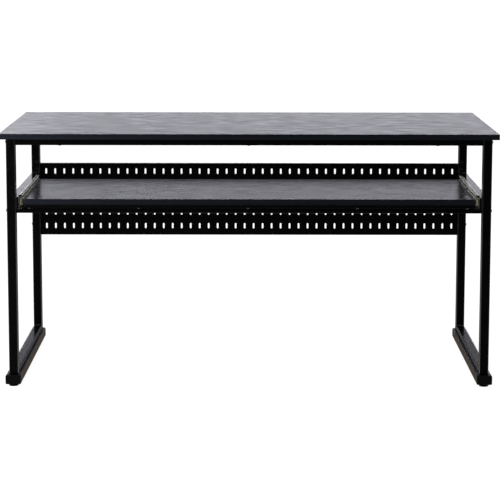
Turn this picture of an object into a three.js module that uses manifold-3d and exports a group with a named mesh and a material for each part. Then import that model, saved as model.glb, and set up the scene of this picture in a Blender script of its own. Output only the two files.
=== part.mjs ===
// Studio desk: a welded and bolted steel tube frame, a laminated desktop, a slotted steel back panel,
// and a keyboard tray that pulls out on a pair of telescopic ball-bearing slides.
// Millimetres. +X is the sitter's right, +Y the back, +Z up. The origin is on the floor, below the middle.

import * as THREE from 'three';
import { mergeVertices } from 'three/addons/utils/BufferGeometryUtils.js';
import Module from 'manifold-3d';

const wasm = await Module();
wasm.setup();

// The whole desk
const deskWidth = 1600;
const deskDepth = 750;
const deskHeight = 825;

// Fits
const seat = 0.3;          // gap left where a piece is welded, screwed or pressed against another
const glueLine = 0.1;      // gap left where an edge band is glued to its board
const overrun = 5;         // how far a cutter runs past what it cuts

// Boards and their edge bands
const boardThickness = 18;
const bandThickness = 2;
const bandRound = 1;

// Steel tubes of the frame
const legSize = 30;
const frameWall = 1.5;
const frameCorner = 3;
const topRailHeight = 20;
const sideRailHeight = 40;
const sideRailRise = 10.5; // top of the side rail above the middle of the brackets
const bottomRailHeight = 15;
const crossbarHeight = 15;
const sideOverhang = 20;   // desktop past the legs at each side
const frontOverhang = 20;  // desktop past the front legs

// Base beams, their end caps and the levelling feet
const beamWidth = 50;
const beamHeight = 30;
const capFlange = 3;
const capPlug = 9;
const capCorner = 4;
const footHeight = 8;
const footRadius = 15.5;
const footRound = 4;
const footTopGap = 0.3;    // between the foot's pad and the flange of its threaded bush
const stemRadius = 4;
const stemReach = 25;      // how far the stem stands above the underside of the beam
const threadGap = 0.2;
const bushRadius = 6.2;
const bushFlange = 9;
const bushFlangeThickness = 1;
const bushReach = 16;
const footInset = 20;      // foot centre from the end of the beam

// Keyboard tray and the tube that stiffens its front edge
const trayDrop = 192;      // desktop underside to the top of the tray
const traySetback = 5;     // tray front behind the desktop front
const stiffenerDepth = 25;
const stiffenerHeight = 12;
const stiffenerWall = 1.2;
const stiffenerSetback = 3;
const stiffenerEndInset = 0.5;
const crossbarGap = 2.5;   // between the stiffener and the crossbar that it passes over

// Telescopic slides
const slideLength = 500;
const slideTravel = 500;
const slideHeight = 45;
const slideThickness = 12.7;
const slideSheet = 1.2;
const slideBend = 0.8;
const raceBend = 2;        // outer member's bends, which follow the balls
const slideSetback = 2;    // slide front behind the tray front
const outerMemberDepth = 11;
const outerLip = 3.2;
const middleFlange = 6.6;
const ballDiameter = 4;
const raceGap = 0.15;      // each side of a ball
const cageSpace = 1.2;     // room for a cage's web between two members
const cageSheet = 0.6;
const cageEdge = 0.8;      // cage past the ball
const cageEndGap = 5;
const cageStopGap = 2;     // between the race stop and a cage at full travel
const ballPitch = 48;
const bumperLength = 12;
const bumperFace = 2;      // the stop's flange over the end of the outer member
const lugReach = 7.5;      // front lug of the inner member, out from its web
const lugBulge = 2;
const lugHeight = 20;

// Brackets that hold the slides off the frame
const bracketDepth = 10.4;
const bracketSheet = 1.5;
const bracketBend = 1;
const bracketHeight = 34;
const bracketLength = 60;

// Slotted back panel
const panelHeight = 260;
const panelDrop = 164.5;   // desktop underside to the top of the panel
const panelDepth = 15;
const panelSheet = 1.2;
const panelBend = 2;       // outer radius of the folds round the front face
const slotRows = 5;
const slotColumns = 46;
const slotRowPitch = 49.5;
const slotSideMargin = 20.7; // panel side to the middle of the first column
const slotWidth = 6;
const slotLength = 20;
const slotTopMargin = 28.6; // panel top to the middle of the first row

// How finely round stretches are drawn
const cornerSteps = 2;
const bendSteps = 2;
const foldSteps = 3;
const lugSteps = 6;
const slotEndSteps = 3;
const turnedSteps = 12;
const bushSteps = 10;
const ballAround = 6;
const ballUp = 3;

// Places that several pieces share
const frameHalfWidth = deskWidth / 2 - sideOverhang;
const frameInnerHalf = frameHalfWidth - legSize;
const legX = frameHalfWidth - legSize / 2;
const frontLegY = -deskDepth / 2 + frontOverhang + legSize / 2;
const rearLegY = deskDepth / 2 - legSize / 2;
const railLength = rearLegY - frontLegY - legSize - 2 * seat;
const railY = (frontLegY + rearLegY) / 2;
const frameTop = deskHeight - boardThickness;
const beamTop = footHeight + beamHeight;
const trayDepth = slideLength;
const trayTop = frameTop - trayDrop;
const trayBottom = trayTop - boardThickness;
const trayFront = -deskDepth / 2 + traySetback;
const trayHalfWidth = frameInnerHalf - bracketDepth - slideThickness - 3 * seat;
const slideZ = trayTop - boardThickness / 2;
const slideFront = trayFront + slideSetback;
const slideY = slideFront + slideLength / 2;
const slideOuterFace = trayHalfWidth + seat + slideThickness;
const crossbarZ = trayBottom - seat - stiffenerHeight - crossbarGap - crossbarHeight / 2;
const bracketZ = crossbarZ + crossbarHeight / 2 + seat + bracketHeight / 2;
const sideRailZ = bracketZ + sideRailRise - sideRailHeight / 2;

const finish = (color, roughness, metalness) => new THREE.MeshStandardMaterial({ color, roughness, metalness });
const blackPowderCoat = finish('#0d0d0e', 0.45, 0.1);
const greyLaminate = finish('#9a9aa0', 0.5, 0);
const blackEdgeBand = finish('#202226', 0.5, 0);
const zincSteel = finish('#b9b7ae', 0.35, 0.9);
const blackPlastic = finish('#111113', 0.55, 0);
const cageSteel = finish('#8c8a84', 0.4, 0.8);

const desk = new THREE.Group();
const tray = new THREE.Group();
desk.add(tray);

function place(group, name, geometry, material, x, y, z) {
  const mesh = new THREE.Mesh(geometry, material);
  mesh.name = name;
  mesh.position.set(x, y, z);
  group.add(mesh);
  return mesh;
}

const sides = [['left', -1], ['right', 1]];
const ends = [['front', -1], ['rear', 1]];

// Joins and cuts
function solidOf(geometry) {
  const bare = geometry.clone();
  bare.deleteAttribute('normal');
  bare.deleteAttribute('uv');
  const merged = mergeVertices(bare);
  return new wasm.Manifold(new wasm.Mesh({
    numProp: 3,
    vertProperties: merged.attributes.position.array,
    triVerts: new Uint32Array(merged.index.array),
  }));
}

function geometryOf(solid) {
  const mesh = solid.getMesh();
  const geometry = new THREE.BufferGeometry();
  geometry.setAttribute('position', new THREE.BufferAttribute(mesh.vertProperties, 3));
  geometry.setIndex(new THREE.BufferAttribute(mesh.triVerts, 1));
  geometry.computeVertexNormals();
  return geometry;
}

function arc(x, y, radius, from, to, steps) {
  return new THREE.EllipseCurve(x, y, radius, radius, from, to).getPoints(steps);
}

// A rectangle with round corners, centred on zero
function roundedRectangle(width, height, radius, steps = cornerSteps) {
  const right = width / 2 - radius;
  const top = height / 2 - radius;
  const quarter = Math.PI / 2;
  return [[right, top], [-right, top], [-right, -top], [right, -top]]
    .flatMap(([x, y], i) => arc(x, y, radius, i * quarter, (i + 1) * quarter, steps));
}

// A section drawn out along one axis and centred on its length. The section's second axis points up,
// and its first one to +X, or to +Y when the piece runs along X.
function drawn(outline, length, axis, hole) {
  const section = new THREE.Shape(outline);
  if (hole) section.holes.push(new THREE.Path(hole));
  const geometry = new THREE.ExtrudeGeometry(section, { depth: length, bevelEnabled: false });
  geometry.translate(0, 0, -length / 2);
  if (axis !== 'z') geometry.rotateX(Math.PI / 2);
  if (axis === 'x') geometry.rotateZ(Math.PI / 2);
  return geometry;
}

function tube(width, height, length, axis, wall = frameWall, corner = frameCorner) {
  const inside = roundedRectangle(width - 2 * wall, height - 2 * wall, corner - wall / 2, bendSteps);
  return drawn(roundedRectangle(width, height, corner), length, axis, inside);
}

// The outline of a folded or rolled sheet: its middle line, rounded at each bend and given a thickness
function foldedSheet(corners, sheet, bend) {
  const points = corners.map(([u, v]) => new THREE.Vector2(u, v));
  const middle = [points[0]];
  for (let i = 1; i < points.length - 1; i += 1) {
    const before = points[i - 1].clone().sub(points[i]).setLength(bend + sheet / 2).add(points[i]);
    const after = points[i + 1].clone().sub(points[i]).setLength(bend + sheet / 2).add(points[i]);
    middle.push(...new THREE.QuadraticBezierCurve(before, points[i], after).getPoints(bendSteps));
  }
  middle.push(points[points.length - 1]);
  const faces = [1, -1].map((face) => middle.map((point, i) => {
    const ahead = middle[Math.min(i + 1, middle.length - 1)];
    const behind = middle[Math.max(i - 1, 0)];
    const along = ahead.clone().sub(behind).normalize();
    return new THREE.Vector2(-along.y, along.x).multiplyScalar(face * sheet / 2).add(point);
  }));
  return [...faces[0], ...faces[1].reverse()];
}

// A board with four glued edge bands: the long bands cover the ends of the short ones
function bandedBoard(group, name, width, depth, y, z) {
  const coreWidth = width - 2 * (bandThickness + glueLine);
  const coreDepth = depth - 2 * (bandThickness + glueLine);
  place(group, `${name}_board`, new THREE.BoxGeometry(coreWidth, coreDepth, boardThickness), greyLaminate, 0, y, z);
  const band = roundedRectangle(bandThickness, boardThickness, bandRound - glueLine, bendSteps);
  for (const [end, sign] of ends) {
    place(group, `${name}_edge_${end}`, drawn(band, width, 'x'), blackEdgeBand,
      0, y + sign * (depth - bandThickness) / 2, z);
  }
  for (const [side, sign] of sides) {
    place(group, `${name}_edge_${side}`, drawn(band, coreDepth, 'y'), blackEdgeBand,
      sign * (width - bandThickness) / 2, y, z);
  }
}

bandedBoard(desk, 'desktop', deskWidth, deskDepth, 0, deskHeight - boardThickness / 2);

// Side frames: two legs, a top rail, a rail that carries the slide and a low rail, all between the legs
const legLength = frameTop - beamTop - 2 * seat;
for (const [side, sign] of sides) {
  for (const [end, y] of [['front', frontLegY], ['rear', rearLegY]]) {
    place(desk, `leg_${end}_${side}`, tube(legSize, legSize, legLength, 'z'), blackPowderCoat,
      sign * legX, y, (frameTop + beamTop) / 2);
  }
  const rails = [
    ['top_rail', topRailHeight, frameTop - seat - topRailHeight / 2],
    ['side_rail', sideRailHeight, sideRailZ],
    ['bottom_rail', bottomRailHeight, beamTop + seat + bottomRailHeight / 2],
  ];
  for (const [name, height, z] of rails) {
    place(desk, `${name}_${side}`, tube(legSize, height, railLength, 'y'), blackPowderCoat, sign * legX, railY, z);
  }
}

// Rails between the side frames: under the desktop at front and rear, and below the tray at the front
const spanLength = 2 * (frameInnerHalf - seat);
const spans = [
  ['apron_front', topRailHeight, frontLegY, frameTop - seat - topRailHeight / 2],
  ['apron_rear', topRailHeight, rearLegY, frameTop - seat - topRailHeight / 2],
  ['tray_crossbar', crossbarHeight, frontLegY, crossbarZ],
];
for (const [name, height, y, z] of spans) {
  place(desk, name, tube(legSize, height, spanLength, 'x'), blackPowderCoat, 0, y, z);
}

// Base beams: wider tubes that lie under the legs, drilled below for the bushes of the feet
const beamLength = deskDepth - 2 * (capFlange + seat);
const footY = deskDepth / 2 - footInset;
const bushHole = new THREE.CylinderGeometry(bushRadius + seat, bushRadius + seat, overrun + frameWall, bushSteps);
bushHole.rotateX(Math.PI / 2);

function baseBeam() {
  let beam = solidOf(tube(beamWidth, beamHeight, beamLength, 'y'));
  for (const [, end] of ends) {
    const hole = bushHole.clone().translate(0, end * footY, -(beamHeight + overrun) / 2 + frameWall);
    beam = beam.subtract(solidOf(hole));
  }
  return geometryOf(beam);
}

// A moulded plug: a flange over the beam's end and a block pressed inside it
function endCap(end) {
  const flange = drawn(roundedRectangle(beamWidth, beamHeight, capCorner), capFlange, 'y');
  const clearance = 2 * (frameWall + seat);
  const plug = drawn(
    roundedRectangle(beamWidth - clearance, beamHeight - clearance, frameCorner), capPlug + capFlange, 'y');
  plug.translate(0, -end * capPlug / 2, 0);
  return geometryOf(solidOf(flange).add(solidOf(plug)));
}

// A levelling foot: a moulded pad on a screwed stem, seen from the floor up
const footPadTop = footHeight - seat - bushFlangeThickness - footTopGap;
function levellingFoot() {
  const profile = [new THREE.Vector2(0, 0)];
  profile.push(...arc(footRadius - footRound, footRound, footRound, -Math.PI / 2, 0, cornerSteps));
  profile.push(new THREE.Vector2(footRadius, footPadTop), new THREE.Vector2(stemRadius, footPadTop));
  profile.push(new THREE.Vector2(stemRadius, footHeight + stemReach), new THREE.Vector2(0, footHeight + stemReach));
  const foot = new THREE.LatheGeometry(profile, turnedSteps);
  foot.rotateX(Math.PI / 2);
  return foot;
}

// A riveted threaded bush in the beam's underside
function footBush() {
  const bore = stemRadius + threadGap;
  const under = footHeight - seat;
  const profile = [
    [bore, under - bushFlangeThickness], [bushFlange, under - bushFlangeThickness], [bushFlange, under],
    [bushRadius, under], [bushRadius, under + bushReach], [bore, under + bushReach],
    [bore, under - bushFlangeThickness],
  ].map(([radius, height]) => new THREE.Vector2(radius, height));
  const bush = new THREE.LatheGeometry(profile, bushSteps);
  bush.rotateX(Math.PI / 2);
  return bush;
}

for (const [side, sign] of sides) {
  place(desk, `base_beam_${side}`, baseBeam(), blackPowderCoat, sign * legX, 0, footHeight + beamHeight / 2);
  for (const [end, toEnd] of ends) {
    place(desk, `base_cap_${end}_${side}`, endCap(toEnd), blackPlastic,
      sign * legX, toEnd * (deskDepth - capFlange) / 2, footHeight + beamHeight / 2);
    place(desk, `foot_${end}_${side}`, levellingFoot(), blackPlastic, sign * legX, toEnd * footY, 0);
    place(desk, `foot_bush_${end}_${side}`, footBush(), zincSteel, sign * legX, toEnd * footY, 0);
  }
}

// Back panel: a shallow sheet-steel tray, open to the rear, with rows of upright slots for ties and hooks
const panelWidth = 2 * (frameInnerHalf - seat);
const panelTop = frameTop - panelDrop;
const slotPitch = (panelWidth - 2 * slotSideMargin) / (slotColumns - 1);

// The pan's outside, with its folds round at the front: the hull of ever smaller rectangles towards the front face
function foldedPan() {
  const layers = arc(0, 0, panelBend, 0, Math.PI / 2, foldSteps).map(({ x: out, y: ahead }) => {
    const inset = panelBend - out;
    const depth = panelDepth - panelBend + ahead;
    const layer = new THREE.BoxGeometry(panelWidth - 2 * inset, depth, panelHeight - 2 * inset);
    return solidOf(layer.translate(0, (panelDepth - depth) / 2, 0));
  });
  return wasm.Manifold.hull(layers);
}

function backPanel() {
  const hollow = new THREE.BoxGeometry(panelWidth - 2 * panelSheet, panelDepth, panelHeight - 2 * panelSheet);
  hollow.translate(0, panelSheet, 0);
  const slot = drawn(slotOutline(), panelSheet + 2 * overrun, 'y');
  slot.translate(0, -panelDepth / 2, panelHeight / 2 - slotTopMargin);
  const cutters = [];
  for (let row = 0; row < slotRows; row += 1) {
    for (let column = 0; column < slotColumns; column += 1) {
      const x = (column - (slotColumns - 1) / 2) * slotPitch;
      cutters.push(solidOf(slot.clone().translate(x, 0, -row * slotRowPitch)));
    }
  }
  return geometryOf(foldedPan().subtract(solidOf(hollow)).subtract(wasm.Manifold.union(cutters)));
}

function slotOutline() {
  const radius = slotWidth / 2;
  const reach = slotLength / 2 - radius;
  return [
    ...arc(0, reach, radius, 0, Math.PI, slotEndSteps),
    ...arc(0, -reach, radius, Math.PI, Math.PI * 2, slotEndSteps),
  ];
}

place(desk, 'back_panel', backPanel(), blackPowderCoat,
  0, deskDepth / 2 - panelDepth / 2, panelTop - panelHeight / 2);

// Keyboard tray, and the tube screwed up under its front edge
bandedBoard(tray, 'tray', 2 * trayHalfWidth, trayDepth, trayFront + trayDepth / 2, trayTop - boardThickness / 2);
place(tray, 'tray_stiffener',
  tube(stiffenerDepth, stiffenerHeight, 2 * (trayHalfWidth - stiffenerEndInset), 'x', stiffenerWall),
  blackPowderCoat, 0, trayFront + stiffenerSetback + stiffenerDepth / 2, trayBottom - seat - stiffenerHeight / 2);

// Telescopic slides. In their sections u runs from the outer member's web towards the tray and v runs up.
// Each member rolls in the next one on two rows of balls, which a cage keeps apart.
const outerFlangeV = slideHeight / 2 - slideSheet / 2;
const middleFlangeV = outerFlangeV - slideSheet - ballDiameter - 2 * raceGap;
const innerFlangeV = middleFlangeV - slideSheet - ballDiameter - 2 * raceGap;
const middleWebU = slideSheet * 1.5 + cageSpace;
const innerWebU = slideThickness - slideSheet / 2;
const innerFlangeEndU = middleWebU + slideSheet / 2 + cageSpace;
const outerBallU = outerMemberDepth / 2;
const innerBallU = (innerFlangeEndU + middleWebU + middleFlange) / 2;
const outerBallV = outerFlangeV - slideSheet / 2 - raceGap - ballDiameter / 2;
const innerBallV = middleFlangeV - slideSheet / 2 - raceGap - ballDiameter / 2;

// A channel section: its web at one u, and its flanges up to another, with lips turned in where it has them
function channel(webU, flangeU, flangeV, lip, sign, bend = slideBend) {
  const half = [[webU, flangeV], [flangeU, flangeV]];
  if (lip) half.push([flangeU, flangeV - lip]);
  const upper = half.map(([u, v]) => [-sign * u, v]);
  const lower = upper.map(([u, v]) => [u, -v]);
  return foldedSheet([...upper.reverse(), ...lower], slideSheet, bend);
}

// A cage: a thin channel with the balls of both rows held in its flanges
const cageFrontGap = bumperLength + cageStopGap;
const cageLength = slideLength - slideTravel / 2 - cageFrontGap - cageEndGap;
function ballCage(webU, ballU, ballV, sign) {
  const edgeU = ballU + ballDiameter / 2 + cageEdge;
  const corners = [[edgeU, ballV], [webU, ballV], [webU, -ballV], [edgeU, -ballV]];
  const section = foldedSheet(corners.map(([u, v]) => [-sign * u, v]), cageSheet, cageSheet / 2);
  const balls = Math.floor((cageLength - ballDiameter) / ballPitch);
  const pieces = [solidOf(drawn(section, cageLength, 'y'))];
  for (let i = 0; i < balls; i += 1) {
    for (const v of [ballV, -ballV]) {
      const ball = new THREE.SphereGeometry(ballDiameter / 2, ballAround, ballUp);
      ball.translate(-sign * ballU, (i - (balls - 1) / 2) * ballPitch, v);
      pieces.push(solidOf(ball));
    }
  }
  return geometryOf(wasm.Manifold.union(pieces));
}

// A plastic stop pressed into the upper ball race, with a flange over the front end of the outer member
function raceStop(sign) {
  const low = middleFlangeV + slideSheet / 2 + seat;
  const high = outerFlangeV - slideSheet / 2 - seat;
  const near = slideSheet + seat;
  const far = outerMemberDepth - slideSheet - seat;
  const plug = drawn(roundedRectangle(far - near, high - low, bandRound), bumperLength + bumperFace, 'y');
  plug.translate(-sign * (near + far) / 2, (bumperLength - bumperFace) / 2, (low + high) / 2);
  const flange = drawn(roundedRectangle(outerMemberDepth, slideHeight / 2 - low, bandRound), bumperFace - seat, 'y');
  flange.translate(-sign * outerMemberDepth / 2, -(bumperFace + seat) / 2, (slideHeight / 2 + low) / 2);
  return geometryOf(solidOf(plug).add(solidOf(flange)));
}

// The inner member: its channel, with a lug pressed out round across its front end
function innerMember(sign) {
  const section = channel(innerWebU, innerFlangeEndU, innerFlangeV, 0, sign);
  const radius = (lugReach * lugReach / 4 + lugBulge * lugBulge) / (2 * lugBulge);
  const swing = Math.asin(lugReach / 2 / radius);
  const bow = arc(0, radius - lugBulge, radius, -Math.PI / 2 - swing, -Math.PI / 2 + swing, lugSteps);
  const outline = [...bow, new THREE.Vector2(lugReach / 2, slideSheet), new THREE.Vector2(-lugReach / 2, slideSheet)];
  const lug = drawn(outline, lugHeight, 'z');
  lug.translate(-sign * (innerWebU - lugReach / 2), -slideLength / 2, 0);
  return geometryOf(solidOf(drawn(section, slideLength, 'y')).add(solidOf(lug)));
}

// A U-shaped bracket, open to the rear: one side lies on the frame and the other carries the slide
function slideBracket(length, sign) {
  const frameFaceU = bracketDepth - bracketSheet / 2;
  const slideFaceU = bracketSheet / 2;
  const front = (bracketSheet - length) / 2;
  const corners = [[frameFaceU, length / 2], [frameFaceU, front], [slideFaceU, front], [slideFaceU, length / 2]];
  return drawn(foldedSheet(corners.map(([u, y]) => [sign * u, y]), bracketSheet, bracketBend), bracketHeight, 'z');
}

const cageY = slideFront + slideTravel / 4 + cageFrontGap + cageLength / 2;
const bracketRearY = slideFront + slideLength - bracketLength;
const brackets = [
  ['front', frontLegY, legSize],
  ['middle', (frontLegY + bracketRearY) / 2, bracketLength],
  ['rear', bracketRearY, bracketLength],
];
for (const [side, sign] of sides) {
  const x = sign * slideOuterFace;
  const member = (section) => drawn(section, slideLength, 'y');
  for (const [end, y, length] of brackets) {
    place(desk, `slide_bracket_${end}_${side}`, slideBracket(length, sign), blackPowderCoat,
      sign * (slideOuterFace + seat), y, bracketZ);
  }
  place(desk, `slide_outer_${side}`,
    member(channel(slideSheet / 2, outerMemberDepth - slideSheet / 2, outerFlangeV, outerLip, sign, raceBend)),
    zincSteel, x, slideY, slideZ);
  place(desk, `slide_stop_${side}`, raceStop(sign), blackPlastic, x, slideFront, slideZ);
  place(desk, `slide_outer_cage_${side}`,
    ballCage(slideSheet + cageSpace / 2, outerBallU, outerBallV, sign), cageSteel, x, cageY, slideZ);
  place(desk, `slide_middle_${side}`,
    member(channel(middleWebU, middleWebU + middleFlange, middleFlangeV, 0, sign)), zincSteel, x, slideY, slideZ);
  place(desk, `slide_inner_cage_${side}`,
    ballCage(middleWebU + (slideSheet + cageSpace) / 2, innerBallU, innerBallV, sign), cageSteel, x, cageY, slideZ);
  place(tray, `slide_inner_${side}`, innerMember(sign), zincSteel, x, slideY, slideZ);
}

export default desk;
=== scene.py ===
import math

import bpy
from mathutils import Euler, Matrix, Vector


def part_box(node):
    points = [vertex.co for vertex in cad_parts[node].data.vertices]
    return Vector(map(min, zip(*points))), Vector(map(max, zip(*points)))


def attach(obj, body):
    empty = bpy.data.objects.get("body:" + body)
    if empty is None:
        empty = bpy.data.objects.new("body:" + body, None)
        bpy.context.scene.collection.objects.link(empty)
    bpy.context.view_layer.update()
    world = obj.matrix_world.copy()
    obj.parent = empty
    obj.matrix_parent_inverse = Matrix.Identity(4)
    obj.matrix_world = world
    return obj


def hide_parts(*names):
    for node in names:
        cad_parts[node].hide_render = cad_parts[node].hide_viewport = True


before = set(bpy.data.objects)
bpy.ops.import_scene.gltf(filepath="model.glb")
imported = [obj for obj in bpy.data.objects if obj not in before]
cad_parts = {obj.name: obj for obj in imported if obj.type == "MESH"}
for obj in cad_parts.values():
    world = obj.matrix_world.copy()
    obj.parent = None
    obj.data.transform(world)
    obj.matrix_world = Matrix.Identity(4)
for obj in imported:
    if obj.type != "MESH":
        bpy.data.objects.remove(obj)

scene = bpy.context.scene
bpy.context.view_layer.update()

# Camera. A long lens stands six metres in front of the desk and higher than its top, so that the desktop
# shows as a thin band. It is level from side to side but for a tenth of a degree. The small shift is the
# photograph's framing.
CAMERA_PLACE = (0.00295, -6.32821, 1.45564)
CAMERA_DOWN = 7.746        # degrees below level
CAMERA_ROLL = 0.083
camera_data = bpy.data.cameras.new("camera")
camera_data.sensor_width = 36
camera_data.lens = 135.148
camera_data.shift_y = -0.12
camera = bpy.data.objects.new("camera", camera_data)
scene.collection.objects.link(camera)
camera.matrix_world = (
    Matrix.Translation(CAMERA_PLACE)
    @ Euler((math.radians(90 - CAMERA_DOWN), 0, 0)).to_matrix().to_4x4()
    @ Matrix.Rotation(math.radians(CAMERA_ROLL), 4, "Z")
)
scene.camera = camera
scene.view_settings.view_transform = "Standard"
scene.view_settings.look = "None"

# Studio. A backdrop stands behind the desk, bright near the floor line and dim higher up. A wide soft box
# hangs overhead and the side walls are pale, while the room behind the camera is dark, less so at its left.
# The camera itself sees plain white all round.
def add_node(tree, kind, inputs=None, **settings):
    """Adds one node. Settings are its properties; inputs pair a socket with a value or a node's output."""
    made = tree.nodes.new(kind)
    for name, value in settings.items():
        setattr(made, name, value)
    for socket, value in (inputs or {}).items():
        if isinstance(value, bpy.types.NodeSocket):
            tree.links.new(value, made.inputs[socket])
        else:
            made.inputs[socket].default_value = value
    return made


def linear(colour):
    """An sRGB hex colour as linear red, green, blue and alpha."""
    parts = [int(colour[i:i + 2], 16) / 255 for i in (1, 3, 5)]
    return [p / 12.92 if p <= 0.04045 else ((p + 0.055) / 1.055) ** 2.4 for p in parts] + [1]


world = bpy.data.worlds.new("studio")
world.use_nodes = True
scene.world = world
room = world.node_tree
room.nodes.clear()

# A direction's parts run from -1 to 1: X to the right, Y to the back and Z up.
direction = add_node(room, "ShaderNodeTexCoord").outputs["Generated"]
axes = add_node(room, "ShaderNodeSeparateXYZ", {"Vector": direction}).outputs

# A Mix node's sockets go by place. Colours go in at 6 and 7 and come out at 2. Numbers go in at 2 and 3 and
# come out at 0. The share of the second one goes in at 0.
front_side = add_node(room, "ShaderNodeMapRange", {
    "Value": axes["X"], "From Min": -0.2, "From Max": 0.2}).outputs["Result"]
front_tone = add_node(room, "ShaderNodeMix", {
    0: front_side, 6: linear("#f2f4ff"), 7: linear("#8f908f")}, data_type="RGBA").outputs[2]
front_low = add_node(room, "ShaderNodeMapRange", {
    "Value": axes["Z"], "From Min": -0.26, "From Max": -0.1,
    "To Min": 0.09, "To Max": 0.02}).outputs["Result"]
front_light = add_node(room, "ShaderNodeMix", {
    0: front_low, 6: linear("#000000"), 7: front_tone}, data_type="RGBA").outputs[2]

# The backdrop's bright band reaches a little higher at the left.
lean = add_node(room, "ShaderNodeMapRange", {
    "Value": axes["X"], "From Min": -0.135, "From Max": -0.095,
    "To Min": -0.02, "To Max": 0}).outputs["Result"]
height = add_node(room, "ShaderNodeMath", {0: axes["Z"], 1: lean}, operation="ADD").outputs["Value"]
backdrop_fall = add_node(room, "ShaderNodeMapRange", {
    "Value": height, "From Min": 0.08, "From Max": 0.14}, interpolation_type="SMOOTHSTEP").outputs["Result"]
backdrop = add_node(room, "ShaderNodeMix", {
    0: backdrop_fall, 6: linear("#f6f6ff"), 7: linear("#68686f")}, data_type="RGBA").outputs[2]
above_floor_line = add_node(room, "ShaderNodeMapRange", {
    "Value": axes["Z"], "From Min": 0.01, "From Max": 0.075},
    interpolation_type="SMOOTHSTEP").outputs["Result"]
back_light = add_node(room, "ShaderNodeMix", {
    0: above_floor_line, 6: linear("#352f28"), 7: backdrop}, data_type="RGBA").outputs[2]

to_back = add_node(room, "ShaderNodeMapRange", {
    "Value": axes["Y"], "From Min": -0.35, "From Max": 0.35},
    interpolation_type="SMOOTHSTEP").outputs["Result"]
all_light = add_node(room, "ShaderNodeMix", {
    0: to_back, 6: front_light, 7: back_light}, data_type="RGBA").outputs[2]
sideways = add_node(room, "ShaderNodeMath", {0: axes["X"]}, operation="ABSOLUTE").outputs["Value"]
to_side = add_node(room, "ShaderNodeMapRange", {
    "Value": sideways, "From Min": 0.3, "From Max": 0.62}, interpolation_type="SMOOTHSTEP").outputs["Result"]
all_light = add_node(room, "ShaderNodeMix", {
    0: to_side, 6: all_light, 7: linear("#a9abb2")}, data_type="RGBA").outputs[2]
down = add_node(room, "ShaderNodeMapRange", {
    "Value": axes["Z"], "From Min": -0.4, "From Max": -0.8},
    interpolation_type="SMOOTHSTEP").outputs["Result"]
all_light = add_node(room, "ShaderNodeMix", {
    0: down, 6: all_light, 7: linear("#4c4c50")}, data_type="RGBA").outputs[2]
overhead = add_node(room, "ShaderNodeMapRange", {
    "Value": axes["Z"], "From Min": 0.5, "From Max": 0.9}, interpolation_type="SMOOTHSTEP").outputs["Result"]
all_light = add_node(room, "ShaderNodeMix", {
    0: overhead, 6: all_light, 7: linear("#f4f6ff")}, data_type="RGBA").outputs[2]

backdrop_glow = add_node(room, "ShaderNodeMapRange", {
    "Value": height, "From Min": 0.05, "From Max": 0.14, "To Min": 3.6, "To Max": 1.0},
    interpolation_type="SMOOTHSTEP").outputs["Result"]
glow = add_node(room, "ShaderNodeMix", {0: to_back, 2: 1.0, 3: backdrop_glow}).outputs[0]
lit = add_node(room, "ShaderNodeBackground", {"Color": all_light, "Strength": glow})
seen = add_node(room, "ShaderNodeBackground", {"Color": linear("#ffffff"), "Strength": 1.0})
ray = add_node(room, "ShaderNodeLightPath")
both = add_node(room, "ShaderNodeMixShader", {
    0: ray.outputs["Is Camera Ray"], 1: lit.outputs["Background"], 2: seen.outputs["Background"]})
add_node(room, "ShaderNodeOutputWorld", {"Surface": both.outputs["Shader"]})

# A large soft box shines from above the front left.
sun_data = bpy.data.lights.new("soft_box_front_left", "SUN")
sun_data.energy = 0.7
sun_data.angle = math.radians(40)
sun = bpy.data.objects.new("soft_box_front_left", sun_data)
scene.collection.objects.link(sun)
sun.rotation_euler = Vector((-0.45, -0.55, 0.75)).to_track_quat("Z", "Y").to_euler()

# A small soft light before the desk's left end lifts the dull faces there and leaves the glossy ones alone.
side_data = bpy.data.lights.new("soft_light_left_end", "AREA")
side_data.size = 0.5
side_data.energy = 14
side_light = bpy.data.objects.new("soft_light_left_end", side_data)
scene.collection.objects.link(side_light)
side_light.location = (-1.0, -1.1, 0.75)
side_light.rotation_euler = Vector((0, -1, 0)).to_track_quat("Z", "Y").to_euler()
side_light.visible_camera = False
side_light.visible_glossy = False

FLOOR_HALF = 60        # metres, out past every view
FLOOR_CORNERS = ((-1, -1), (1, -1), (1, 1), (-1, 1))
floor_mesh = bpy.data.meshes.new("floor")
floor_mesh.from_pydata([(x * FLOOR_HALF, y * FLOOR_HALF, 0) for x, y in FLOOR_CORNERS], [], [(0, 1, 2, 3)])
floor = bpy.data.objects.new("floor", floor_mesh)
scene.collection.objects.link(floor)
paper = bpy.data.materials.new("white_backdrop_paper")
paper.use_nodes = True
paper_shader = paper.node_tree.nodes["Principled BSDF"]
paper_shader.inputs["Base Color"].default_value = linear("#808080")
paper_shader.inputs["Roughness"].default_value = 0.9
paper_shader.inputs["Specular IOR Level"].default_value = 0
paper_shader.inputs["Emission Color"].default_value = linear("#ffffff")
paper_shader.inputs["Emission Strength"].default_value = 0.94
floor_mesh.materials.append(paper)
floor.visible_glossy = False

# Steel frame. Square and oblong tube, 1.5 mm thick, is welded into two side frames that stand on wider base
# beams. Two aprons and a crossbar are bolted between them. All of it is coated with black polyester powder.
MM = 0.001
SIDES = (("left", -1), ("right", 1))
ENDS = (("front", -1), ("rear", 1))


def named_material(name):
    """A new material, its node tree and its shader."""
    material = bpy.data.materials.new(name)
    material.use_nodes = True
    return material, material.node_tree, material.node_tree.nodes["Principled BSDF"]


def dress(material, *names):
    """Gives CAD nodes a finish through their own material slots."""
    for name in names:
        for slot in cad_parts[name].material_slots:
            slot.material = material


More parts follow.
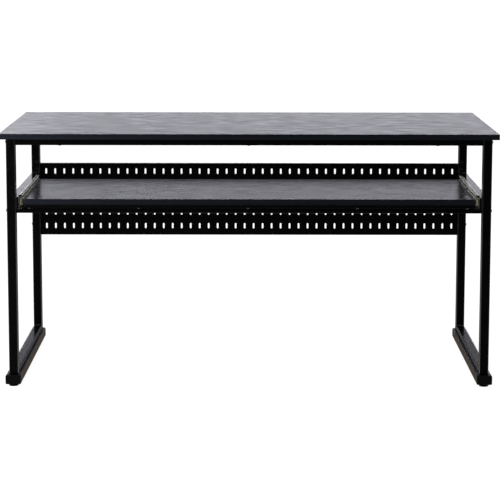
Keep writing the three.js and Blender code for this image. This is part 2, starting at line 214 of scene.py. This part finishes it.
# Powder coat: satin black polyester, baked on. It gives the eye a faintly dimpled skin, near black head on
# and grey at a glance. Its dimples are 1 to 2 mm across, and are drawn 4 mm across so that they show.
POWDER_PEEL = 4 * MM
POWDER_CLOUD = 60 * MM
powder_coat, tree, shader = named_material("black_powder_coat")
place = add_node(tree, "ShaderNodeTexCoord").outputs["Object"]
cloud = add_node(tree, "ShaderNodeTexNoise", {
    "Vector": place, "Scale": 1 / POWDER_CLOUD, "Detail": 3}).outputs["Fac"]
peel = add_node(tree, "ShaderNodeTexNoise", {
    "Vector": place, "Scale": 1 / POWDER_PEEL, "Detail": 2}).outputs["Fac"]
tone = add_node(tree, "ShaderNodeMix", {
    0: cloud, 6: linear("#010101"), 7: linear("#030303")}, data_type="RGBA")
tree.links.new(tone.outputs[2], shader.inputs["Base Color"])
roughness = add_node(tree, "ShaderNodeMapRange", {
    "Value": cloud, "From Min": 0.3, "From Max": 0.7, "To Min": 0.17, "To Max": 0.23})
tree.links.new(roughness.outputs["Result"], shader.inputs["Roughness"])
dimples = add_node(tree, "ShaderNodeBump", {"Height": peel, "Strength": 0.12, "Distance": 0.2 * MM})
tree.links.new(dimples.outputs["Normal"], shader.inputs["Normal"])

# On the sides of the low rails the coat is thin and dull, because little powder gets into the corner over
# the beam.
corner_coat = powder_coat.copy()
corner_coat.name = "black_powder_coat_thin_sided"
tree = corner_coat.node_tree
shader = tree.nodes["Principled BSDF"]
normal = add_node(tree, "ShaderNodeNewGeometry").outputs["Normal"]
across = add_node(tree, "ShaderNodeSeparateXYZ", {"Vector": normal}).outputs["X"]
side_share = add_node(tree, "ShaderNodeMath", {0: across}, operation="ABSOLUTE").outputs["Value"]
roughness = add_node(tree, "ShaderNodeMapRange", {
    "Value": side_share, "From Min": 0.3, "From Max": 0.8, "To Min": 0.2, "To Max": 0.7})
tree.links.new(roughness.outputs["Result"], shader.inputs["Roughness"])

for side, _ in SIDES:
    dress(powder_coat, f"leg_front_{side}", f"leg_rear_{side}", f"top_rail_{side}", f"side_rail_{side}",
          f"base_beam_{side}")
    dress(corner_coat, f"bottom_rail_{side}")
dress(powder_coat, "apron_front", "apron_rear", "tray_crossbar")


def add_piece(name, points, faces, material, body, smooth=True):
    """A mesh piece in the desk's frame, in metres, that rides on a body and takes a slot's finish."""
    mesh = bpy.data.meshes.new(name)
    mesh.from_pydata(points, [], faces)
    mesh.materials.append(material)
    mesh.polygons.foreach_set("use_smooth", [smooth] * len(mesh.polygons))
    mesh.update()
    obj = bpy.data.objects.new(name, mesh)
    scene.collection.objects.link(obj)
    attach(obj, body)
    return obj


# Fillet welds of the side frames: beads of filler wire, 3.5 mm high, under the powder coat. The ripples of a
# real bead are about 1.5 mm apart, and are drawn 3 mm apart so that they show.
BEAD = 3.5 * MM
BEAD_STEP = 1 * MM
BEAD_RIPPLE = 3 * MM
BEAD_RIPPLE_RISE = 0.14        # this and the next four are shares of the bead's height
BEAD_END = 0.4
BEAD_ROOT = 0.08
BEAD_FACE_FAR = 0.66
BEAD_FACE_NEAR = 0.36
BEAD_INSET = 3 * MM            # a bead stops short of the tube's rounded corners
BEAD_RING = 5


def weld_bead(points, faces, start, end, along_a, along_b):
    """Adds a bead in the corner between two faces, which run off from it in the two directions."""
    start, end, a, b = Vector(start), Vector(end), Vector(along_a), Vector(along_b)
    length = (end - start).length
    steps = max(6, round(length / BEAD_STEP))
    for i in range(steps + 1):
        run = i / steps * length
        taper = min(1, (BEAD_END * BEAD + min(run, length - run)) / BEAD)
        size = BEAD * taper * (1 + BEAD_RIPPLE_RISE * math.sin(run / BEAD_RIPPLE * 2 * math.pi))
        centre = start.lerp(end, i / steps)
        base = len(points)
        offsets = [-BEAD_ROOT * (a + b) * BEAD, a * size, (BEAD_FACE_FAR * a + BEAD_FACE_NEAR * b) * size,
                   (BEAD_FACE_NEAR * a + BEAD_FACE_FAR * b) * size, b * size]
        points.extend(tuple(centre + offset) for offset in offsets)
        if i:
            for k in range(BEAD_RING):
                after = (k + 1) % BEAD_RING
                faces.append((base - BEAD_RING + k, base - BEAD_RING + after, base + after, base + k))
    first = len(points) - BEAD_RING * (steps + 1)
    faces.append(tuple(first + k for k in range(BEAD_RING)))
    faces.append(tuple(len(points) - 1 - k for k in range(BEAD_RING)))


WELDED_RAILS = (("top_rail", False, True), ("side_rail", True, True), ("bottom_rail", True, False))
STITCH = 28 * MM               # stitch welds hold the low rail on its beam, on the outside only
STITCHES = 5
for side, sign in SIDES:
    points, faces = [], []
    beam_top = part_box(f"base_beam_{side}")[1].z
    for end, toward in ENDS:
        leg_low, leg_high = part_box(f"leg_{end}_{side}")
        leg_face = leg_high.y if end == "front" else leg_low.y
        across = (leg_low.x + BEAD_INSET, leg_high.x - BEAD_INSET)
        along = (leg_low.y + BEAD_INSET, leg_high.y - BEAD_INSET)
        for rail, on_top, underneath in WELDED_RAILS:
            rail_low, rail_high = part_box(f"{rail}_{side}")
            for wanted, z, up in ((on_top, rail_high.z, 1), (underneath, rail_low.z, -1)):
                if wanted:
                    weld_bead(points, faces, (across[0], leg_face, z), (across[1], leg_face, z),
                              (0, -toward, 0), (0, 0, up))
        for x, out in ((leg_low.x, -1), (leg_high.x, 1)):
            weld_bead(points, faces, (x, along[0], beam_top), (x, along[1], beam_top), (out, 0, 0), (0, 0, 1))
    rail_low, rail_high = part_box(f"bottom_rail_{side}")
    for i in range(STITCHES):
        y = rail_low.y + (rail_high.y - rail_low.y) * (i + 0.5) / STITCHES
        x = rail_low.x if sign < 0 else rail_high.x
        weld_bead(points, faces, (x, y - STITCH / 2, beam_top), (x, y + STITCH / 2, beam_top),
                  (sign, 0, 0), (0, 0, 1))
    add_piece(f"weld_beads_{side}", points, faces, powder_coat, "root")


# Frame bolts: M6 button heads with a hex socket, black like the frame. They go in through the legs' outer
# faces, into the aprons, the crossbar and the side flanges of the back panel.
HEAD_AROUND = 36
HEAD_DOME = ((1, 0), (1, 0.28), (0.94, 0.55), (0.8, 0.8), (0.62, 0.94))        # shares of radius and height
DRIVE_WALL = 0.94              # the drive narrows to this share at its foot
DRIVE_POINT = (0.4, 1.1)       # shares of its width and depth at its point
CROSS_ARM = 0.35               # sine of twice the angle from the middle of an arm to its side
CROSS_WAIST = 0.36             # the cross's reach between its arms, as a share of its arms' reach


def head_mesh(name, radius, height, drive, drive_radius, drive_depth, material):
    """A screw or bolt head that stands on z = 0, with a hex socket or a cross recess in its crown."""
    rings = [[(radius * share, height * rise)] * HEAD_AROUND for share, rise in HEAD_DOME]
    crown, wall, ground = [], [], []
    for k in range(HEAD_AROUND):
        angle = 2 * math.pi * k / HEAD_AROUND
        if drive == "hex":
            reach = drive_radius / math.cos((angle + math.pi / 6) % (math.pi / 3) - math.pi / 6)
        else:
            reach = drive_radius * (1 if abs(math.sin(2 * angle)) < CROSS_ARM else CROSS_WAIST)
        crown.append((reach, height))
        wall.append((reach * DRIVE_WALL, height - drive_depth))
        ground.append((reach * DRIVE_POINT[0], height - drive_depth * DRIVE_POINT[1]))
    rings += [crown, wall, ground]
    points = []
    for ring in rings:
        for k, (reach, z) in enumerate(ring):
            angle = 2 * math.pi * k / HEAD_AROUND
            points.append((reach * math.cos(angle), reach * math.sin(angle), z))
    faces = []
    for here in range(0, (len(rings) - 1) * HEAD_AROUND, HEAD_AROUND):
        for k in range(HEAD_AROUND):
            after = (k + 1) % HEAD_AROUND
            faces.append((here + k, here + after, here + HEAD_AROUND + after, here + HEAD_AROUND + k))
    last = (len(rings) - 1) * HEAD_AROUND
    faces.append(tuple(last + k for k in range(HEAD_AROUND)))
    faces.append(tuple(HEAD_AROUND - 1 - k for k in range(HEAD_AROUND)))
    mesh = bpy.data.meshes.new(name)
    mesh.from_pydata(points, [], faces)
    mesh.materials.append(material)
    smooth = [ring in (1, 2, 3) for ring in range(len(rings) - 1) for _ in range(HEAD_AROUND)]
    mesh.polygons.foreach_set("use_smooth", smooth + [False, False])
    mesh.update()
    return mesh


def set_head(name, mesh, point, facing, body, turn=0):
    """Puts a head on a face. Its axis points the way that the face looks, and turn is its angle about it."""
    obj = bpy.data.objects.new(name, mesh)
    scene.collection.objects.link(obj)
    aim = Vector(facing).to_track_quat("Z", "Y").to_matrix().to_4x4()
    obj.matrix_world = Matrix.Translation(point) @ aim @ Matrix.Rotation(turn, 4, "Z")
    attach(obj, body)
    return obj


PANEL_BOLT_MARGIN = 40 * MM    # from the panel's top and bottom to the bolts of its side flanges
button_head = head_mesh("m6_button_head", radius=5.25 * MM, height=3.3 * MM, drive="hex",
                        drive_radius=2 * MM, drive_depth=2 * MM, material=powder_coat)
for side, sign in SIDES:
    for end, _ in ENDS:
        leg_low, leg_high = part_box(f"leg_{end}_{side}")
        outside = leg_low.x if sign < 0 else leg_high.x
        leg_middle = (leg_low.y + leg_high.y) / 2
        for joined in (f"apron_{end}", "tray_crossbar" if end == "front" else "back_panel"):
            low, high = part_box(joined)
            heights = [(low.z + high.z) / 2]
            if joined == "back_panel":
                heights = [high.z - PANEL_BOLT_MARGIN, low.z + PANEL_BOLT_MARGIN]
            for i, z in enumerate(heights):
                set_head(f"frame_bolt_{joined}_{side}_{i + 1}", button_head, (outside, leg_middle, z),
                         (sign, 0, 0), "root", turn=0.4 * i + 0.2)

# Base ends and feet. The caps are black polyethylene, moulded and pressed into the beams. Each foot is a
# moulded pad with grip flutes on a zinc-plated M8 stem, screwed into a riveted bush below the beam.

# Moulded plastic: the skin of a spark-eroded mould. It gives the eye a soft, even black, a little greyer than
# the steel's. The real grain is 0.2 mm, and is drawn 1.5 mm wide so that it shows.
PLASTIC_GRAIN = 1.5 * MM
black_plastic, tree, shader = named_material("black_moulded_polyethylene")
place = add_node(tree, "ShaderNodeTexCoord").outputs["Object"]
grain = add_node(tree, "ShaderNodeTexNoise", {
    "Vector": place, "Scale": 1 / PLASTIC_GRAIN, "Detail": 2}).outputs["Fac"]
tone = add_node(tree, "ShaderNodeMix", {
    0: grain, 6: linear("#030303"), 7: linear("#070708")}, data_type="RGBA")
tree.links.new(tone.outputs[2], shader.inputs["Base Color"])
roughness = add_node(tree, "ShaderNodeMapRange", {"Value": grain, "To Min": 0.45, "To Max": 0.6})
tree.links.new(roughness.outputs["Result"], shader.inputs["Roughness"])
skin = add_node(tree, "ShaderNodeBump", {"Height": grain, "Strength": 0.15, "Distance": 0.1 * MM})
tree.links.new(skin.outputs["Normal"], shader.inputs["Normal"])
shader.inputs["IOR"].default_value = 1.51
shader.inputs["Specular IOR Level"].default_value = 0.18

# Zinc plate: zinc on rolled steel, passivated clear, or yellow on the inner slide members. It gives the eye a
# warm grey or a beige metal, with soft cloudy streaks along the length of the strip, 8 mm wide.
ZINC_STREAK = (8 * MM, 180 * MM, 8 * MM)


def zinc_finish(name, dull, bright):
    """Zinc plate between two tones, the duller and the brighter part of its clouds."""
    material, tree, shader = named_material(name)
    place = add_node(tree, "ShaderNodeTexCoord").outputs["Object"]
    stretched = add_node(tree, "ShaderNodeMapping", {
        "Vector": place, "Scale": [1 / size for size in ZINC_STREAK]})
    streak = add_node(tree, "ShaderNodeTexNoise", {
        "Vector": stretched.outputs["Vector"], "Scale": 1, "Detail": 4}).outputs["Fac"]
    tone = add_node(tree, "ShaderNodeMix", {0: streak, 6: linear(dull), 7: linear(bright)}, data_type="RGBA")
    tree.links.new(tone.outputs[2], shader.inputs["Base Color"])
    roughness = add_node(tree, "ShaderNodeMapRange", {"Value": streak, "To Min": 0.22, "To Max": 0.32})
    tree.links.new(roughness.outputs["Result"], shader.inputs["Roughness"])
    shader.inputs["Metallic"].default_value = 1
    return material


zinc_plate = zinc_finish("passivated_zinc_plate", "#b4b1a6", "#d2cfc5")
yellow_zinc = zinc_finish("yellow_passivated_zinc_plate", "#b3a88a", "#cfc4a6")


FACES_JOIN_WITHIN = 0.01 * MM
SHARP_FROM = math.radians(40)


def round_edges(node, name, width, segments):
    """Rounds a CAD node's sharp edges. Its faces arrive apart from each other, so they are joined first."""
    node.modifiers.new("joined_faces", "WELD").merge_threshold = FACES_JOIN_WITHIN
    edge = node.modifiers.new(name, "BEVEL")
    edge.width = width
    edge.segments = segments
    edge.limit_method = "ANGLE"
    edge.angle_limit = SHARP_FROM


CAP_EDGE = 0.9 * MM
for side, _ in SIDES:
    for end, _ in ENDS:
        dress(black_plastic, f"base_cap_{end}_{side}")
        dress(zinc_plate, f"foot_bush_{end}_{side}")
        round_edges(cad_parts[f"base_cap_{end}_{side}"], "moulded_edge", CAP_EDGE, 2)

FOOT_AROUND = 72
FOOT_FLUTES = 24
FLUTE_DEPTH = 0.35 * MM
FLUTED_ROWS = (3, 4)
PAD_TOP = 6.4 * MM
STEM = 4 * MM                  # the stem's radius
for side, _ in SIDES:
    for end, _ in ENDS:
        node_name = f"foot_{end}_{side}"
        low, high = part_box(node_name)
        centre = (low + high) / 2
        pad = (high.x - low.x) / 2        # the pad's radius
        # Radius and height: the sole, the rim, the fluted side, the pad's top, and the stem to its chamfer
        profile = [(0, 0), (pad - 3.2 * MM, 0), (pad - 1.2 * MM, 0.5 * MM), (pad, 1.8 * MM), (pad, 4.9 * MM),
                   (pad - 0.6 * MM, 5.8 * MM), (pad - 1.8 * MM, PAD_TOP), (STEM + 2.6 * MM, PAD_TOP),
                   (STEM, PAD_TOP), (STEM, high.z - 0.8 * MM), (STEM - 0.8 * MM, high.z), (0, high.z)]
        points, faces = [], []
        for row, (reach, z) in enumerate(profile):
            for k in range(FOOT_AROUND):
                angle = 2 * math.pi * k / FOOT_AROUND
                fluted = row in FLUTED_ROWS
                flute = FLUTE_DEPTH * (0.5 - 0.5 * math.cos(FOOT_FLUTES * angle)) if fluted else 0
                points.append((centre.x + (reach - flute) * math.cos(angle),
                               centre.y + (reach - flute) * math.sin(angle), z))
            if row:
                here, before = row * FOOT_AROUND, (row - 1) * FOOT_AROUND
                for k in range(FOOT_AROUND):
                    after = (k + 1) % FOOT_AROUND
                    faces.append((before + k, before + after, here + after, here + k))
        foot = add_piece(f"levelling_{node_name}", points, faces, black_plastic, node_name)
        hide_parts(node_name)

# Back panel. 1.2 mm sheet is punched with rows of upright slots for ties and hooks, folded back on all four
# sides into a shallow tray and powder coated with the frame. Two bolts stand in the front face of each rear
# leg, by the panel's upper corner.
dress(powder_coat, "back_panel")

PANEL_BOLT_DROP = (-5.5 * MM, 19.5 * MM)        # below the panel's top, so the first stands above it
PANEL_BOLT_INSET = 5 * MM                       # from the leg's middle toward the panel
panel_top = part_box("back_panel")[1].z
for side, sign in SIDES:
    leg_low, leg_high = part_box(f"leg_rear_{side}")
    x = (leg_low.x + leg_high.x) / 2 - sign * PANEL_BOLT_INSET
    for i, drop in enumerate(PANEL_BOLT_DROP):
        set_head(f"panel_bolt_{side}_{i + 1}", button_head, (x, leg_low.y, panel_top - drop),
                 (0, -1, 0), "root", turn=0.3 + i)

# Desktop. 18 mm chipboard is faced with grey woodgrain laminate, and its edges are closed with 2 mm black ABS
# band, glued on and rounded over. Pan-head screws hold it from below, through the aprons and the top rails.

# Laminate: printed paper under melamine, pressed on a grained plate. It gives the eye dark-grey streaks along
# the board, and near grazing it turns pale as it mirrors the backdrop, flecked where the grain is glossier.
# The flecks are 2 to 3 mm wide, and are drawn 20 mm wide so that they show. The pores are 0.3 mm wide, and
# are drawn 1.2 mm wide.
FIGURE = (160 * MM, 40 * MM, 40 * MM)
STREAK = (240 * MM, 7 * MM, 7 * MM)
PRESSED_GRAIN = (60 * MM, 20 * MM, 20 * MM)
PORE = (40 * MM, 1.2 * MM, 1.2 * MM)
laminate, tree, shader = named_material("grey_woodgrain_laminate")
place = add_node(tree, "ShaderNodeTexCoord").outputs["Object"]
layers = []
for size, detail, warp in ((FIGURE, 3, 0.4), (STREAK, 4, 0.2), (PRESSED_GRAIN, 1, 0), (PORE, 2, 0)):
    stretched = add_node(tree, "ShaderNodeMapping", {"Vector": place, "Scale": [1 / s for s in size]})
    layer = add_node(tree, "ShaderNodeTexNoise", {
        "Vector": stretched.outputs["Vector"], "Scale": 1, "Detail": detail, "Distortion": warp})
    layers.append(layer.outputs["Fac"])
figure, streak, pressed, pore = layers
figure_tone = add_node(tree, "ShaderNodeMix", {
    0: figure, 6: linear("#0e0e10"), 7: linear("#242428")}, data_type="RGBA").outputs[2]
streak_share = add_node(tree, "ShaderNodeMapRange", {
    "Value": streak, "From Min": 0.35, "From Max": 0.65}).outputs["Result"]
streak_tone = add_node(tree, "ShaderNodeMix", {
    0: streak_share, 6: linear("#08080a"), 7: linear("#46464d")}, data_type="RGBA").outputs[2]
print_tone = add_node(tree, "ShaderNodeMix", {
    0: 0.55, 6: figure_tone, 7: streak_tone}, data_type="RGBA").outputs[2]
pore_share = add_node(tree, "ShaderNodeMapRange", {
    "Value": pore, "From Min": 0.6, "From Max": 0.72, "To Min": 0, "To Max": 0.6}).outputs["Result"]
tone = add_node(tree, "ShaderNodeMix", {0: pore_share, 6: print_tone, 7: linear("#070708")}, data_type="RGBA")
tree.links.new(tone.outputs[2], shader.inputs["Base Color"])
roughness = add_node(tree, "ShaderNodeMapRange", {
    "Value": pressed, "From Min": 0.35, "From Max": 0.65, "To Min": 0.224, "To Max": 0.273})
tree.links.new(roughness.outputs["Result"], shader.inputs["Roughness"])
ripple = add_node(tree, "ShaderNodeBump", {"Height": pressed, "Strength": 0.2, "Distance": 0.6 * MM})
pitted = add_node(tree, "ShaderNodeBump", {
    "Height": pore, "Strength": 0.1, "Distance": 0.15 * MM, "Normal": ripple.outputs["Normal"]}, invert=True)
tree.links.new(pitted.outputs["Normal"], shader.inputs["Normal"])

# ABS edge band: extruded, printed black and flattened with a scraper. It gives the eye a smooth satin edge, a
# little bluer and glossier than the laminate. The scraper's lines are about 1 mm apart, and are drawn 4 mm
# apart so that they show.
SCRAPE = (300 * MM, 4 * MM, 4 * MM)
edge_band, tree, shader = named_material("black_abs_edge_band")
place = add_node(tree, "ShaderNodeTexCoord").outputs["Object"]
drawn_out = add_node(tree, "ShaderNodeMapping", {"Vector": place, "Scale": [1 / size for size in SCRAPE]})
scrape = add_node(tree, "ShaderNodeTexNoise", {
    "Vector": drawn_out.outputs["Vector"], "Scale": 1, "Detail": 3}).outputs["Fac"]
tone = add_node(tree, "ShaderNodeMix", {
    0: scrape, 6: linear("#0d0e12"), 7: linear("#14151b")}, data_type="RGBA")
tree.links.new(tone.outputs[2], shader.inputs["Base Color"])
roughness = add_node(tree, "ShaderNodeMapRange", {"Value": scrape, "To Min": 0.12, "To Max": 0.18})
tree.links.new(roughness.outputs["Result"], shader.inputs["Roughness"])
shader.inputs["IOR"].default_value = 1.53

EDGES = ("front", "rear", "left", "right")
dress(laminate, "desktop_board")
dress(edge_band, *[f"desktop_edge_{edge}" for edge in EDGES])

APRON_SCREW_X = (-608 * MM, -1 * MM, 606 * MM)
SIDE_SCREW_SHARES = (0.2, 0.8)        # of the top rail's length
black_pan_head = head_mesh("black_pan_head", radius=5 * MM, height=2.6 * MM, drive="cross",
                           drive_radius=2.4 * MM, drive_depth=1.4 * MM, material=powder_coat)
for end, _ in ENDS:
    low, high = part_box(f"apron_{end}")
    for i, x in enumerate(APRON_SCREW_X):
        set_head(f"desktop_screw_{end}_{i + 1}", black_pan_head, (x, (low.y + high.y) / 2, low.z),
                 (0, 0, -1), "root", turn=0.5 * i)
for side, _ in SIDES:
    low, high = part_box(f"top_rail_{side}")
    for i, share in enumerate(SIDE_SCREW_SHARES):
        y = low.y + (high.y - low.y) * share
        set_head(f"desktop_screw_{side}_{i + 1}", black_pan_head, ((low.x + high.x) / 2, y, low.z),
                 (0, 0, -1), "root", turn=0.7 * i)

# Keyboard tray. It is the same board and band, stiffened along its front by an oblong tube. Five zinc
# pan-head screws hold the tube up against the board from below.
TRAY_SCREW_X = (-707 * MM, -355 * MM, -4 * MM, 348 * MM, 702 * MM)
TRAY_SCREW_INSET = 6 * MM             # from the tube's front face
dress(laminate, "tray_board")
dress(edge_band, *[f"tray_edge_{edge}" for edge in EDGES])
dress(powder_coat, "tray_stiffener")
zinc_pan_head = head_mesh("zinc_pan_head", radius=4 * MM, height=1.9 * MM, drive="cross",
                          drive_radius=2 * MM, drive_depth=1.3 * MM, material=zinc_plate)
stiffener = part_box("tray_stiffener")[0]
for i, x in enumerate(TRAY_SCREW_X):
    set_head(f"tray_screw_{i + 1}", zinc_pan_head, (x, stiffener.y + TRAY_SCREW_INSET, stiffener.z),
             (0, 0, -1), "tray", turn=0.6 * i)

# Telescopic slides. Three members, cold-rolled from zinc-plated strip, run in each other on rows of 4 mm
# steel balls in pressed cages. A plastic stop closes the race, and U-shaped brackets carry each slide off
# the frame.

# Ball steel: hardened, ground and polished. It gives the eye a row of small bright points in the race, with
# a faint haze of grease in patches 6 mm wide.
BALL_HAZE = 6 * MM
ball_steel, tree, shader = named_material("polished_ball_steel")
place = add_node(tree, "ShaderNodeTexCoord").outputs["Object"]
haze = add_node(tree, "ShaderNodeTexNoise", {
    "Vector": place, "Scale": 1 / BALL_HAZE, "Detail": 2}).outputs["Fac"]
tone = add_node(tree, "ShaderNodeMix", {
    0: haze, 6: linear("#bdbcb8"), 7: linear("#dededc")}, data_type="RGBA")
tree.links.new(tone.outputs[2], shader.inputs["Base Color"])
roughness = add_node(tree, "ShaderNodeMapRange", {"Value": haze, "To Min": 0.1, "To Max": 0.2})
tree.links.new(roughness.outputs["Result"], shader.inputs["Roughness"])
shader.inputs["Metallic"].default_value = 1

# Cage steel: thin bright strip under a film of oil, which lies in patches 20 mm wide. It gives the eye a
# darker, browner metal than the zinc.
OIL_FILM = 20 * MM
cage_steel, tree, shader = named_material("oiled_cage_strip")
place = add_node(tree, "ShaderNodeTexCoord").outputs["Object"]
film = add_node(tree, "ShaderNodeTexNoise", {
    "Vector": place, "Scale": 1 / OIL_FILM, "Detail": 3}).outputs["Fac"]
tone = add_node(tree, "ShaderNodeMix", {
    0: film, 6: linear("#75726a"), 7: linear("#95928a")}, data_type="RGBA")
tree.links.new(tone.outputs[2], shader.inputs["Base Color"])
roughness = add_node(tree, "ShaderNodeMapRange", {"Value": film, "To Min": 0.22, "To Max": 0.4})
tree.links.new(roughness.outputs["Result"], shader.inputs["Roughness"])
shader.inputs["Metallic"].default_value = 1

BALL = 4 * MM
BALL_PITCH = 12 * MM
BALL_PLAY = 0.2 * MM           # from a ball to the edge of its cage
BALL_RINGS = 8
BALL_AROUND = 14


def add_ball(points, faces, centre):
    """Adds one ball: its top point, its rings from the top down, and its bottom point."""
    base = len(points)
    points.append((centre[0], centre[1], centre[2] + BALL / 2))
    for ring in range(1, BALL_RINGS):
        tilt = math.pi * ring / BALL_RINGS
        for k in range(BALL_AROUND):
            turn = 2 * math.pi * k / BALL_AROUND
            points.append((centre[0] + BALL / 2 * math.sin(tilt) * math.cos(turn),
                           centre[1] + BALL / 2 * math.sin(tilt) * math.sin(turn),
                           centre[2] + BALL / 2 * math.cos(tilt)))
    points.append((centre[0], centre[1], centre[2] - BALL / 2))
    last = len(points) - 1
    lowest = base + 1 + (BALL_RINGS - 2) * BALL_AROUND
    for k in range(BALL_AROUND):
        after = (k + 1) % BALL_AROUND
        faces.append((base, base + 1 + k, base + 1 + after))
        faces.append((last, lowest + after, lowest + k))
        for ring in range(BALL_RINGS - 2):
            here = base + 1 + ring * BALL_AROUND
            faces.append((here + k, here + BALL_AROUND + k, here + BALL_AROUND + after, here + after))


CAGE_SHEET = 0.6 * MM
CAGE_BEND = 1.2 * MM
ROLLED_EDGE = 0.55 * MM
for side, sign in SIDES:
    dress(zinc_plate, f"slide_outer_{side}", f"slide_middle_{side}")
    dress(yellow_zinc, f"slide_inner_{side}")
    dress(black_plastic, f"slide_stop_{side}")
    dress(powder_coat, *[f"slide_bracket_{position}_{side}" for position in ("front", "middle", "rear")])
    for member in ("outer", "middle", "inner"):
        round_edges(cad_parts[f"slide_{member}_{side}"], "rolled_edge", ROLLED_EDGE, 3)
    for race in ("outer", "inner"):
        node_name = f"slide_{race}_cage_{side}"
        body = f"{race}_cage_{side}"
        low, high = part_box(node_name)
        toward = -sign                 # from the cage's web to its open edge
        web_x = low.x if sign < 0 else high.x
        edge_x = high.x if sign < 0 else low.x
        ball_x = edge_x - toward * (BALL / 2 + BALL_PLAY)
        middle = (low.z + high.z) / 2
        row_z = (high.z - low.z) / 2 - BALL / 2
        section = [(edge_x, row_z), (web_x + toward * CAGE_BEND, row_z), (web_x, row_z - CAGE_BEND),
                   (web_x, CAGE_BEND - row_z), (web_x + toward * CAGE_BEND, -row_z), (edge_x, -row_z)]
        outer_face = [(x, z + CAGE_SHEET / 2 * (1 if z > 0 else -1)) for x, z in section]
        inner_face = [(x + toward * (CAGE_SHEET if abs(x - web_x) < CAGE_BEND else 0),
                       z - CAGE_SHEET / 2 * (1 if z > 0 else -1)) for x, z in section]
        outline = outer_face + inner_face[::-1]
        count = len(outline)
        points = [(x, y, middle + z) for y in (low.y, high.y) for x, z in outline]
        faces = [(k, (k + 1) % count, count + (k + 1) % count, count + k) for k in range(count)]
        for k in range(len(section) - 1):
            quad = (k, k + 1, count - 2 - k, count - 1 - k)
            faces.append(quad[::-1])
            faces.append(tuple(count + corner for corner in quad))
        strip = add_piece(f"{race}_ball_cage_{side}", points, faces, cage_steel, body,
                          smooth=False)
        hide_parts(node_name)
        points, faces = [], []
        balls = int((high.y - low.y - BALL) / BALL_PITCH)
        for i in range(balls):
            y = (low.y + high.y) / 2 + (i - (balls - 1) / 2) * BALL_PITCH
            for up in (1, -1):
                add_ball(points, faces, (ball_x, y, middle + up * row_z))
        add_piece(f"{race}_balls_{side}", points, faces, ball_steel, body)

SLIDE_STRIP = 1.2 * MM         # thickness of the strip that the members are rolled from
SLIDE_SCREW_SHARES = (0.07, 0.33, 0.66, 0.93)        # of the inner member's length
slide_screw = head_mesh("slide_screw_head", radius=3.6 * MM, height=1.7 * MM, drive="cross",
                        drive_radius=1.8 * MM, drive_depth=1 * MM, material=zinc_plate)
for side, sign in SIDES:
    low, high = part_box(f"slide_inner_{side}")
    web_face = (low.x if sign > 0 else high.x) + sign * SLIDE_STRIP
    for i, share in enumerate(SLIDE_SCREW_SHARES):
        y = low.y + (high.y - low.y) * share
        set_head(f"slide_screw_{side}_{i + 1}", slide_screw, (web_face, y, (low.z + high.z) / 2),
                 (sign, 0, 0), "tray", turn=0.8 * i)
